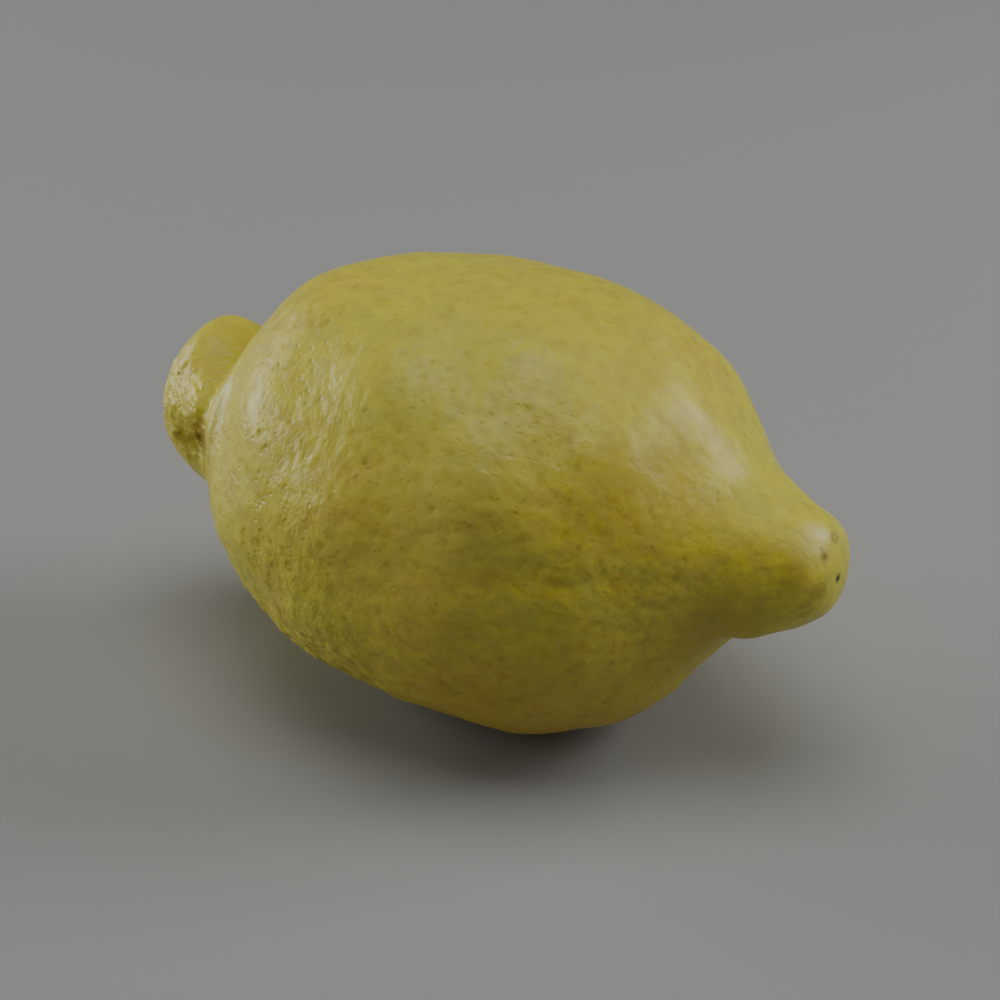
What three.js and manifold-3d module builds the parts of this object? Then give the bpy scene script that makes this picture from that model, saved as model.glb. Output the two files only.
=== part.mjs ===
// A whole lemon lying on its side, with the dried button of its stem.
//
// Millimetres. +X runs along the fruit from the stem end to the pointed tip, +Z is up,
// and the fruit rests on z = 0 with the origin at the middle of the footprint of its box.
//
// The peel is a ball of small quads whose quads are laid along a meridian: the angle from
// the stem pole runs along the meridian, and the angle round the long axis turns it.
// Broad swellings, hollows and a slow unevenness then take the form off the lathe.

import * as THREE from 'three';
import { mergeVertices } from 'three/addons/utils/BufferGeometryUtils.js';
import Module from 'manifold-3d';

const wasm = await Module();
wasm.setup();

// Driving sizes of the fruit
const GIRTH_RADIUS = 31; // half of the width at the middle
const STEM_RIM_X = -47.6; // outermost ring of the collar at the stem end
const TIP_X = 49.9; // end of the nipple
const COLLAR_RADIUS = 11.8; // the collar where it is waisted
const HOLLOW_DEPTH = 1.5; // the button sits this deep inside the collar's rim
const NECK_LIFT = 2.0; // the collar stands this far above the fruit's axis
const TIP_LIFT = 1.4; // and the nipple this far
const FLAT_DEPTH = 0.5; // how much the resting spot takes off the underside

// Driving sizes of the button
const CALYX_RADIUS = 5.0;
const CALYX_LOBES = 5;
const CALYX_TURN = 140; // degrees round the axis at which one lobe points
const STUB_RADIUS = 1.7;
const STUB_LENGTH = 3.0;
const STUB_LEAN = 1.1; // the cut end stands this far above the foot
const STUB_FOOT = HOLLOW_DEPTH + 0.4; // above the floor of the hollow
const GAP = 0.3; // clear space between the button and the peel

// Fineness of the meshes
const BALL_CELLS = 28; // quads along an edge of the ball
const BUTTON_SIDES = 40;

const PEEL = new THREE.MeshStandardMaterial({ color: 0xc2b136, roughness: 0.42, metalness: 0 });
const BUTTON = new THREE.MeshStandardMaterial({ color: 0x8d8a66, roughness: 0.8, metalness: 0 });

// Meridian: place along the axis and distance from it, from the stem pole to the tip
const HOLLOW_FLOOR_X = STEM_RIM_X + HOLLOW_DEPTH;
const MERIDIAN = [
  [HOLLOW_FLOOR_X, 0],
  [HOLLOW_FLOOR_X - 0.1, 3.6],
  [STEM_RIM_X, 6.4],
  [-46.3, 9.0],
  [-43.2, 11.1],
  [-39.5, COLLAR_RADIUS],
  [-35.8, 13.2],
  [-33.0, 18.0],
  [-26.5, 25.0],
  [-14.0, 29.6],
  [0, GIRTH_RADIUS],
  [13.0, 29.6],
  [24.5, 24.8],
  [31.5, 18.0],
  [37.0, 12.6],
  [42.5, 9.6],
  [46.4, 7.7],
  [48.7, 5.0],
  [TIP_X, 0],
];

// Broad forms on top of the meridian: height in mm, place and reach along the axis in mm,
// and direction and spread round the axis in degrees, where 0 is +Y and 90 is up
const FORMS = [
  { height: 2.7, at: -43.0, reach: 5.0, towards: 100, spread: 45 }, // hump of the collar
  { height: -0.5, at: -37.5, reach: 4.0, towards: 55, spread: 45 }, // crease behind the hump
  { height: -0.9, at: -44.0, reach: 4.0, towards: 215, spread: 45 }, // collar's thin underside
  { height: 1.4, at: -36.5, reach: 3.0, towards: 215, spread: 32 }, // flare of its root below
  { height: 3.8, at: -37.0, reach: 3.8, towards: 150, spread: 24 }, // bridge to the shoulder
  { height: -2.0, at: -29.0, reach: 4.5, towards: 150, spread: 26 }, // shoulder, low at the bridge
  { height: -1.3, at: -39.5, reach: 2.2, towards: 176, spread: 14 }, // dimple under the bridge
  { height: -0.9, at: -27.0, reach: 7.0, towards: 208, spread: 32 }, // rounder lower shoulder
  { height: 0.5, at: -27.0, reach: 7.0, towards: 92, spread: 30 }, // fuller top of the shoulder
  { height: -1.2, at: -19.0, reach: 13.0, towards: 218, spread: 34 }, // flatter flank
  { height: -1.7, at: 1.0, reach: 12.0, towards: 243, spread: 24 }, // flatter belly
  { height: 1.0, at: -1.0, reach: 9.5, towards: 262, spread: 30 }, // fuller where it rests
  { height: -0.5, at: -3.0, reach: 12.0, towards: 296, spread: 20 }, // and less so behind that
  { height: -1.2, at: 11.0, reach: 7.0, towards: 266, spread: 30 }, // and ahead of it
  { height: 0.5, at: 17.0, reach: 7.0, towards: 230, spread: 26 }, // fuller low on the flank
  { height: 0.4, at: 27.0, reach: 6.0, towards: 268, spread: 28 }, // fuller under the far end
  { height: 0.7, at: 16.0, reach: 10.0, towards: 60, spread: 35 }, // fuller back
  { height: 0.6, at: 19.0, reach: 6.0, towards: 54, spread: 28 }, // and its highest place
  { height: 1.3, at: 30.0, reach: 5.5, towards: 55, spread: 38 }, // fuller far shoulder
  { height: -0.8, at: 44.5, reach: 4.0, towards: 60, spread: 40 }, // top of the nipple
  { height: -0.6, at: 35.0, reach: 3.5, towards: 250, spread: 28 }, // step where the nipple starts
  { height: -1.5, at: 38.0, reach: 6.5, towards: 242, spread: 45 }, // hollow under the nipple
  { height: 1.3, at: 40.8, reach: 3.0, towards: 214, spread: 32 }, // fuller side of its root
  { height: -0.8, at: 47.6, reach: 2.2, towards: 228, spread: 45 }, // and slimmer under the tip
];
const QUIET_RADIUS = 6; // nearer to the axis than this, the forms fade out

// Slow unevenness of the peel: crossed waves in directions spread over a ball
const WAVES = 14;
const WAVE_LENGTH = 15;
const WAVE_HEIGHT = 0.083;
const WAVE_PHASE = 1.7;
const GOLDEN_ANGLE = Math.PI * (3 - Math.sqrt(5));

// Stretches of the axis over which the collar and the nipple leave it
const NECK_BEND = { from: -31, to: -41 };
const TIP_BEND = { from: 24, to: 46 };

// 0 to 1 along a stretch of the axis, with soft ends
function easedAlong(x, { from, to }) {
  return THREE.MathUtils.smoothstep((x - from) / (to - from), 0, 1);
}

// Height of the broad forms at a place on the meridian and a turn round the axis
function formHeight(x, radius, turn) {
  let height = 0;
  for (const form of FORMS) {
    const degrees = THREE.MathUtils.radToDeg(turn) - form.towards;
    const aside = THREE.MathUtils.euclideanModulo(degrees + 180, 360) - 180;
    const along = (x - form.at) / form.reach;
    const round = aside / form.spread;
    height += form.height * Math.exp(-along * along - round * round);
  }
  return height * Math.min(1, radius / QUIET_RADIUS);
}

// Height of the slow unevenness at a point of the peel
function waveHeight(point) {
  let height = 0;
  for (let i = 0; i < WAVES; i += 1) {
    const z = 1 - (2 * i + 1) / WAVES;
    const ring = Math.sqrt(1 - z * z);
    const angle = GOLDEN_ANGLE * i;
    const across = point.x * ring * Math.cos(angle) + point.y * ring * Math.sin(angle) + point.z * z;
    height += Math.sin((2 * Math.PI * across) / WAVE_LENGTH + WAVE_PHASE * i * i);
  }
  return height * WAVE_HEIGHT;
}

// The closed meridian: the stations and their mirror images, so it crosses the axis square
function meridianCurve() {
  const side = MERIDIAN.map(([x, radius]) => new THREE.Vector3(x, radius, 0));
  const mirrored = side.slice(1, -1).reverse().map((p) => new THREE.Vector3(p.x, -p.y, 0));
  return new THREE.CatmullRomCurve3([...side, ...mirrored], true, 'catmullrom', 0.5);
}

// A ball of quads of equal angle, as directions from its middle
function ballOfQuads() {
  const ball = new THREE.BoxGeometry(1, 1, 1, BALL_CELLS, BALL_CELLS, BALL_CELLS);
  ball.deleteAttribute('normal');
  ball.deleteAttribute('uv');
  const corner = new THREE.Vector3();
  const places = ball.attributes.position;
  for (let i = 0; i < places.count; i += 1) {
    corner.fromBufferAttribute(places, i);
    const spread = [corner.x, corner.y, corner.z].map((c) => Math.tan((c * Math.PI) / 2));
    corner.set(...spread).normalize();
    places.setXYZ(i, corner.x, corner.y, corner.z);
  }
  return mergeVertices(ball, 1e-6);
}

// Where a direction from the middle of the fruit meets the peel
function peelPoint(direction, meridian) {
  const fromStem = Math.acos(THREE.MathUtils.clamp(-direction.x, -1, 1));
  const station = meridian.getPoint(fromStem / (2 * Math.PI));
  const turn = Math.atan2(direction.z, direction.y);
  const radius = Math.max(0, station.y) + formHeight(station.x, station.y, turn);
  const point = new THREE.Vector3(station.x, radius * Math.cos(turn), radius * Math.sin(turn));
  point.z += NECK_LIFT * easedAlong(point.x, NECK_BEND) + TIP_LIFT * easedAlong(point.x, TIP_BEND);
  const outward = point.clone().normalize();
  const quiet = Math.min(1, station.y / QUIET_RADIUS);
  return point.addScaledVector(outward, quiet * waveHeight(point));
}

function solidOf(geometry) {
  const vertProperties = new Float32Array(geometry.attributes.position.array);
  const triVerts = new Uint32Array(geometry.index.array);
  return new wasm.Manifold(new wasm.Mesh({ numProp: 3, vertProperties, triVerts }));
}

function geometryOf(solid) {
  const mesh = solid.getMesh();
  const geometry = new THREE.BufferGeometry();
  geometry.setAttribute('position', new THREE.BufferAttribute(mesh.vertProperties, 3));
  geometry.setIndex(new THREE.BufferAttribute(mesh.triVerts, 1));
  return geometry;
}

// Takes a shallow slice off the underside, which leaves the spot that the fruit rests on
function restedFlat(peel) {
  peel.computeBoundingBox();
  const floor = peel.boundingBox.min.z + FLAT_DEPTH;
  const width = 4 * GIRTH_RADIUS;
  const slice = new THREE.BoxGeometry(width, width, GIRTH_RADIUS);
  slice.deleteAttribute('normal');
  slice.deleteAttribute('uv');
  slice.translate(0, 0, floor - GIRTH_RADIUS / 2);
  return geometryOf(solidOf(peel).subtract(solidOf(mergeVertices(slice))));
}

function fruitGeometry() {
  const meridian = meridianCurve();
  const peel = ballOfQuads();
  const places = peel.attributes.position;
  const direction = new THREE.Vector3();
  for (let i = 0; i < places.count; i += 1) {
    direction.fromBufferAttribute(places, i);
    const point = peelPoint(direction, meridian);
    places.setXYZ(i, point.x, point.y, point.z);
  }
  return restedFlat(peel);
}

// Profile of the button, from its middle inside the hollow out to the rim and back to the
// cut end of the stub: distance from its axis, and height above the floor of the hollow
function buttonProfile() {
  const underRim = HOLLOW_DEPTH - 0.35;
  const stubTop = STUB_FOOT + STUB_LENGTH;
  return [
    [0, GAP],
    [0.6 * CALYX_RADIUS, GAP + 0.15],
    [0.98 * CALYX_RADIUS, underRim + GAP],
    [CALYX_RADIUS, HOLLOW_DEPTH + 0.5],
    [0.86 * CALYX_RADIUS, HOLLOW_DEPTH + 0.9],
    [0.55 * CALYX_RADIUS, STUB_FOOT - 0.1],
    [1.15 * STUB_RADIUS, STUB_FOOT],
    [STUB_RADIUS, stubTop - 0.5],
    [0.9 * STUB_RADIUS, stubTop],
    [0.5 * STUB_RADIUS, stubTop - 0.3],
    [0, stubTop - 0.4],
  ].map(([radius, height]) => new THREE.Vector2(radius, height));
}

// The dried calyx with its blunt lobes and the stub of the stem, in one piece
function buttonGeometry() {
  const button = new THREE.LatheGeometry(buttonProfile(), BUTTON_SIDES);
  button.rotateZ(Math.PI / 2); // its height now runs towards -X
  const places = button.attributes.position;
  for (let i = 0; i < places.count; i += 1) {
    const y = places.getY(i);
    const z = places.getZ(i);
    const radius = Math.hypot(y, z);
    const turn = Math.atan2(z, y) - THREE.MathUtils.degToRad(CALYX_TURN);
    const outer = THREE.MathUtils.smoothstep(radius, 1.2 * STUB_RADIUS, CALYX_RADIUS);
    const lobe = outer * Math.cos(CALYX_LOBES * turn);
    const spread = 1 + 0.06 * lobe;
    const x = places.getX(i);
    const upStub = THREE.MathUtils.clamp((-x - STUB_FOOT) / STUB_LENGTH, 0, 1);
    const lean = radius < 1.2 * STUB_RADIUS ? STUB_LEAN * upStub : 0;
    places.setXYZ(i, x - 0.25 * Math.max(0, lobe), y * spread, z * spread + lean);
  }
  return button;
}

function named(name, geometry, material) {
  const mesh = new THREE.Mesh(geometry, material);
  mesh.name = name;
  return mesh;
}

function buildLemon() {
  const fruit = named('fruit', fruitGeometry(), PEEL);
  const button = named('stem_button', buttonGeometry(), BUTTON);
  button.position.set(HOLLOW_FLOOR_X, 0, NECK_LIFT);

  const lemon = new THREE.Group();
  lemon.add(fruit, button);
  lemon.updateMatrixWorld(true);
  const box = new THREE.Box3().setFromObject(lemon);
  const middle = box.getCenter(new THREE.Vector3());
  for (const piece of lemon.children) {
    piece.position.x -= middle.x;
    piece.position.y -= middle.y;
    piece.position.z -= box.min.z;
  }
  return lemon;
}

export default buildLemon();
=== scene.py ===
"""A whole lemon lying on its side, with a waisted collar, a dried stem button and a blunt nipple."""

import logging
import math
from collections.abc import Sequence
from dataclasses import dataclass, field, replace
from enum import Enum

import bmesh
import bpy
import numpy as np
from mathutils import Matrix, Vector


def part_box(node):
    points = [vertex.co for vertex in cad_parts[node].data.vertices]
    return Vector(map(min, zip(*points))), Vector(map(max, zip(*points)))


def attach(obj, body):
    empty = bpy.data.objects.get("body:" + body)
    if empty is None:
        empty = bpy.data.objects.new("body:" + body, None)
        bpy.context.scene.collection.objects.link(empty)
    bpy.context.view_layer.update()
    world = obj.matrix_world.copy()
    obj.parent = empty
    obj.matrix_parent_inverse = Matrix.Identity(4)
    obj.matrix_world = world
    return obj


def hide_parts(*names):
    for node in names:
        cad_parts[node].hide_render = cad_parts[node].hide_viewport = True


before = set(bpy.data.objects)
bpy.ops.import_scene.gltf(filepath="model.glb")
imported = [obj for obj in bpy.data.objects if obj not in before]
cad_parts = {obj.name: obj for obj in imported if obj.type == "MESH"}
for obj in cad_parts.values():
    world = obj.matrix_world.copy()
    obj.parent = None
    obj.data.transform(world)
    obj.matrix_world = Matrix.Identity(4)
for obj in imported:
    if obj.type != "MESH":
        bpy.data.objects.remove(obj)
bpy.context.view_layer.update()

MM = 0.001  # the sizes below are in millimetres, and Blender's unit is the metre

# Directions round the fruit's axis in degrees, where 0 is +Y and 90 is up
TOP = 85.0
BRIDGE = 146.0  # from the collar to the shoulder
UNDER_BRIDGE = 188.0
LOW_FLANK = 212.0
SEAM = 315.0  # where the turns of the mesh start and end

Colour = tuple[float, float, float]
log = logging.getLogger("lemon")


class Slot(Enum):
    """The record's material slots."""

    PEEL = "peel"
    DRIED_STEM = "dried_stem"


class Mark(Enum):
    """The attributes that the peel's mesh carries for its relief and its finish."""

    PORE = "pore"  # how deep a sunk gland is here, from 0 to 1
    BODY = "body"
    RIDGED = "ridged"
    PITTED = "pitted"
    CREASED = "creased"
    LUMPED = "lumped"
    COLLAR = "collar"
    NIPPLE = "nipple"
    ALONG = "along"  # metres along the meridian
    AROUND = "around"  # metres round the girth


def srgb(red: int, green: int, blue: int) -> Colour:
    """A colour given as it looks on a screen, as linear light.

    Args:
        red: Red from 0 to 255.
        green: Green from 0 to 255.
        blue: Blue from 0 to 255.

    Returns:
        The linear colour.
    """
    shares = (channel / 255.0 for channel in (red, green, blue))
    return tuple(s / 12.92 if s <= 0.04045 else ((s + 0.055) / 1.055) ** 2.4 for s in shares)


def eased(value: np.ndarray, start: float, end: float) -> np.ndarray:
    """A smooth step from 0 at start to 1 at end.

    Args:
        value: The values to step.
        start: Where the step is 0.
        end: Where the step is 1, which may be less than start.

    Returns:
        The step at each value.
    """
    share = np.clip((value - start) / (end - start), 0.0, 1.0)
    return share * share * (3.0 - 2.0 * share)


def turned_from(turn: np.ndarray, direction: float) -> np.ndarray:
    """Turns in radians as degrees from a direction, between -180 and 180."""
    return (np.degrees(turn) - direction + 180.0) % 360.0 - 180.0


def facing(turn: np.ndarray, direction: float, spread: float) -> np.ndarray:
    """1 where a turn points in a direction, and falling softly over the spread in degrees."""
    return np.exp(-((turned_from(turn, direction) / spread) ** 2))


# The form of the fruit


@dataclass(frozen=True)
class Swelling:
    """A broad rise or hollow of the peel.

    Attributes:
        height: Its height in mm, negative for a hollow.
        at: Its place along the axis in mm.
        reach: How far it runs along the axis in mm.
        towards: Its direction round the axis in degrees, where 0 is +Y and 90 is up.
        spread: How far it runs round the axis in degrees.
    """

    height: float
    at: float
    reach: float
    towards: float
    spread: float

    def over(self, x: np.ndarray, turn: np.ndarray) -> np.ndarray:
        """Its height over places of the peel.

        Args:
            x: Places along the axis in mm.
            turn: Directions round the axis in radians.

        Returns:
            The height at each place in mm.
        """
        aside = turned_from(turn, self.towards)
        return self.height * np.exp(-(((x - self.at) / self.reach) ** 2) - (aside / self.spread) ** 2)


@dataclass(frozen=True)
class Waves:
    """The slow unevenness of the peel: crossed waves in directions spread over a ball."""

    count: int = 14
    length: float = 15.0
    height: float = 0.083
    phase: float = 1.7

    def over(self, points: np.ndarray) -> np.ndarray:
        """Its height at points of the peel.

        Args:
            points: The points in mm.

        Returns:
            The height at each point in mm.
        """
        golden_angle = math.pi * (3.0 - math.sqrt(5.0))
        height = np.zeros(points.shape[:-1])
        for i in range(self.count):
            z = 1.0 - (2 * i + 1) / self.count
            ring = math.sqrt(1.0 - z * z)
            heading = (ring * math.cos(golden_angle * i), ring * math.sin(golden_angle * i), z)
            height += np.sin(points @ np.array(heading) * (2.0 * math.pi / self.length) + self.phase * i * i)
        return height * self.height


@dataclass(frozen=True)
class FruitForm:
    """The outer form of the fruit, the same as the solid that it stands for.

    The meridian's stations are places along the axis and distances from it, in mm, from the
    floor of the stem's hollow to the end of the nipple.
    """

    girth_radius: float = 31.0
    stem_rim_x: float = -47.6
    tip_x: float = 49.9
    collar_radius: float = 11.8
    hollow_depth: float = 1.5
    neck_lift: float = 2.0
    tip_lift: float = 1.4
    flat_depth: float = 0.5
    neck_bend: tuple[float, float] = (-31.0, -41.0)
    tip_bend: tuple[float, float] = (24.0, 46.0)
    quiet_radius: float = 6.0
    waves: Waves = field(default_factory=Waves)
    swellings: tuple[Swelling, ...] = (
        Swelling(2.7, at=-43.0, reach=5.0, towards=100, spread=45),  # hump of the collar
        Swelling(-0.5, at=-37.5, reach=4.0, towards=55, spread=45),  # crease behind the hump
        Swelling(-0.9, at=-44.0, reach=4.0, towards=215, spread=45),  # collar's thin underside
        Swelling(1.4, at=-36.5, reach=3.0, towards=215, spread=32),  # flare of its root below
        Swelling(3.8, at=-37.0, reach=3.8, towards=150, spread=24),  # bridge to the shoulder
        Swelling(-2.0, at=-29.0, reach=4.5, towards=150, spread=26),  # shoulder, low at the bridge
        Swelling(-1.3, at=-39.5, reach=2.2, towards=176, spread=14),  # dimple under the bridge
        Swelling(-0.9, at=-27.0, reach=7.0, towards=208, spread=32),  # rounder lower shoulder
        Swelling(0.5, at=-27.0, reach=7.0, towards=92, spread=30),  # fuller top of the shoulder
        Swelling(-1.2, at=-19.0, reach=13.0, towards=218, spread=34),  # flatter flank
        Swelling(-1.7, at=1.0, reach=12.0, towards=243, spread=24),  # flatter belly
        Swelling(1.0, at=-1.0, reach=9.5, towards=262, spread=30),  # fuller where it rests
        Swelling(-0.5, at=-3.0, reach=12.0, towards=296, spread=20),  # and less so behind that
        Swelling(-1.2, at=11.0, reach=7.0, towards=266, spread=30),  # and ahead of it
        Swelling(0.5, at=17.0, reach=7.0, towards=230, spread=26),  # fuller low on the flank
        Swelling(0.4, at=27.0, reach=6.0, towards=268, spread=28),  # fuller under the far end
        Swelling(0.7, at=16.0, reach=10.0, towards=60, spread=35),  # fuller back
        Swelling(0.6, at=19.0, reach=6.0, towards=54, spread=28),  # and its highest place
        Swelling(1.3, at=30.0, reach=5.5, towards=55, spread=38),  # fuller far shoulder
        Swelling(-0.8, at=44.5, reach=4.0, towards=60, spread=40),  # top of the nipple
        Swelling(-0.6, at=35.0, reach=3.5, towards=250, spread=28),  # step where the nipple starts
        Swelling(-1.5, at=38.0, reach=6.5, towards=242, spread=45),  # hollow under the nipple
        Swelling(1.3, at=40.8, reach=3.0, towards=214, spread=32),  # fuller side of its root
        Swelling(-0.8, at=47.6, reach=2.2, towards=228, spread=45),  # and slimmer under the tip
    )

    @property
    def hollow_floor_x(self) -> float:
        """Where the axis meets the floor of the stem's hollow."""
        return self.stem_rim_x + self.hollow_depth

    def stations(self) -> np.ndarray:
        """The meridian's stations as rows of place and radius."""
        return np.array([
            (self.hollow_floor_x, 0.0),
            (self.hollow_floor_x - 0.1, 3.6),
            (self.stem_rim_x, 6.4),
            (-46.3, 9.0),
            (-43.2, 11.1),
            (-39.5, self.collar_radius),
            (-35.8, 13.2),
            (-33.0, 18.0),
            (-26.5, 25.0),
            (-14.0, 29.6),
            (0.0, self.girth_radius),
            (13.0, 29.6),
            (24.5, 24.8),
            (31.5, 18.0),
            (37.0, 12.6),
            (42.5, 9.6),
            (46.4, 7.7),
            (48.7, 5.0),
            (self.tip_x, 0.0),
        ])

    def meridian(self, share: np.ndarray) -> tuple[np.ndarray, np.ndarray]:
        """Places on the meridian, a smooth curve through the stations and their mirror images.

        Args:
            share: Shares of the meridian's length from the stem's hollow to the tip.

        Returns:
            The places along the axis, and the distances from it, in mm.
        """
        steps_per_span = 60
        side = self.stations()
        loop = np.vstack([side, side[-2:0:-1] * (1.0, -1.0)])
        spans = len(side) - 1
        steps = np.arange(spans * steps_per_span + 1) / steps_per_span
        first = np.minimum(steps.astype(int), spans - 1)
        t = (steps - first)[:, None]
        before, start, end, after = (loop[(first + k) % len(loop)] for k in (-1, 0, 1, 2))
        curve = start + 0.5 * t * (
            (end - before)
            + t * (2 * before - 5 * start + 4 * end - after)
            + t * t * (3 * start - before - 3 * end + after)
        )
        run = np.concatenate([[0.0], np.cumsum(np.linalg.norm(np.diff(curve, axis=0), axis=1))])
        run /= run[-1]
        return np.interp(share, run, curve[:, 0]), np.interp(share, run, curve[:, 1])

    def meridian_length(self) -> float:
        """How long the meridian is, in mm."""
        places = np.stack(self.meridian(np.linspace(0.0, 1.0, 401)), axis=-1)
        return float(np.linalg.norm(np.diff(places, axis=0), axis=1).sum())

    def peel(self, share: np.ndarray, turn: np.ndarray) -> np.ndarray:
        """Points of the peel about the fruit's own axis.

        Args:
            share: Shares of the meridian's length from the stem's hollow to the tip.
            turn: Directions round the axis in radians.

        Returns:
            The points in mm, one row each.
        """
        x, radius = self.meridian(share)
        quiet = np.minimum(1.0, radius / self.quiet_radius)
        full = radius + quiet * sum(swelling.over(x, turn) for swelling in self.swellings)
        points = np.stack([x, full * np.cos(turn), full * np.sin(turn)], axis=-1)
        points[:, 2] += self.neck_lift * eased(x, *self.neck_bend) + self.tip_lift * eased(x, *self.tip_bend)
        outward = points / np.linalg.norm(points, axis=1, keepdims=True)
        return points + outward * (quiet * self.waves.over(points))[:, None]


@dataclass(frozen=True)
class Placing:
    """Where the fruit's axis and middle lie in the frame, in mm."""

    offset: np.ndarray

    @classmethod
    def from_frame(cls, form: FruitForm) -> "Placing":
        """Sets the form in the box of the solid that it stands for.

        Args:
            form: The fruit's form.

        Returns:
            The placing.
        """
        turns, shares = np.meshgrid(np.linspace(0.0, 2.0 * math.pi, 361), np.linspace(0.0, 1.0, 301))
        points = form.peel(shares.ravel(), turns.ravel())
        low, high = (np.array(corner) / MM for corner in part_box("fruit"))
        aside = (low[1] + high[1] - points[:, 1].min() - points[:, 1].max()) / 2.0
        return cls(np.array([high[0] - form.tip_x, aside, -points[:, 2].min() - form.flat_depth]))

    def in_frame(self, points: np.ndarray) -> np.ndarray:
        """Points given about the fruit's axis, moved to the frame, in mm."""
        return points + self.offset


# Shader and geometry node trees


class Wiring:
    """Adds nodes to a tree and links them, in few words."""

    def __init__(self, tree: bpy.types.NodeTree) -> None:
        """Starts on a tree.

        Args:
            tree: The node tree to add to.
        """
        self.tree = tree

    def add(self, kind: str, settings: dict | None = None, **inputs: object) -> bpy.types.Node:
        """Adds a node.

        Args:
            kind: The node's type.
            settings: Its properties by name.
            **inputs: Values or output sockets for its inputs, by name with _ for a space.

        Returns:
            The node.
        """
        node = self.tree.nodes.new(kind)
        for name, value in (settings or {}).items():
            setattr(node, name, value)
        for name, value in inputs.items():
            self.feed(node.inputs[name.replace("_", " ")], value)
        return node

    def feed(self, socket: bpy.types.NodeSocket, value: object) -> None:
        """Links an output to a socket, or sets the socket's own value.

        Args:
            socket: The input socket.
            value: An output socket or a plain value.
        """
        if isinstance(value, bpy.types.NodeSocket):
            self.tree.links.new(value, socket)
        else:
            socket.default_value = value

    def sum(self, operation: str, *values: object, clamp: bool = False) -> bpy.types.NodeSocket:
        """A Math node on plain values and output sockets.

        Args:
            operation: The node's operation, such as MULTIPLY.
            *values: Its inputs in order.
            clamp: Whether the result is held between 0 and 1.

        Returns:
            The result.
        """
        node = self.add("ShaderNodeMath", {"operation": operation, "use_clamp": clamp})
        for socket, value in zip(node.inputs, values):
            self.feed(socket, value)
        return node.outputs[0]

    def vector(self, operation: str, *values: object) -> bpy.types.Node:
        """A Vector Math node on plain vectors and output sockets.

        Args:
            operation: The node's operation, such as DISTANCE.
            *values: Its inputs in order.

        Returns:
            The node.
        """
        node = self.add("ShaderNodeVectorMath", {"operation": operation})
        for socket, value in zip(node.inputs, values):
            self.feed(socket, value)
        return node

    def step(
        self, value: object, start: object, end: object, low: object = 0.0, high: object = 1.0
    ) -> bpy.types.NodeSocket:
        """A smooth step between two values.

        Args:
            value: What is stepped.
            start: Where the step gives low.
            end: Where the step gives high.
            low: The result before start.
            high: The result past end.

        Returns:
            The stepped value.
        """
        node = self.add("ShaderNodeMapRange", {"interpolation_type": "SMOOTHSTEP"}, Value=value)
        for name, limit in (("From Min", start), ("From Max", end), ("To Min", low), ("To Max", high)):
            self.feed(node.inputs[name], limit)
        return node.outputs["Result"]


# Finishes


@dataclass(frozen=True)
class Patch:
    """A tinted or stained place of the peel, or a tint of painted shade or painted light laid on it.

    Attributes:
        at: Its place along the fruit's axis in mm.
        towards: Its direction round the axis in degrees, where 0 is +Y and 90 is up.
        radius: How far it reaches in mm.
        colour: What it is tinted with.
        strength: How much of the peel's colour it hides at its middle.
        stretch: How many times longer it is along the fruit than across.
    """

    at: float
    towards: float
    radius: float
    colour: Colour
    strength: float
    stretch: float = 1.0


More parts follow.
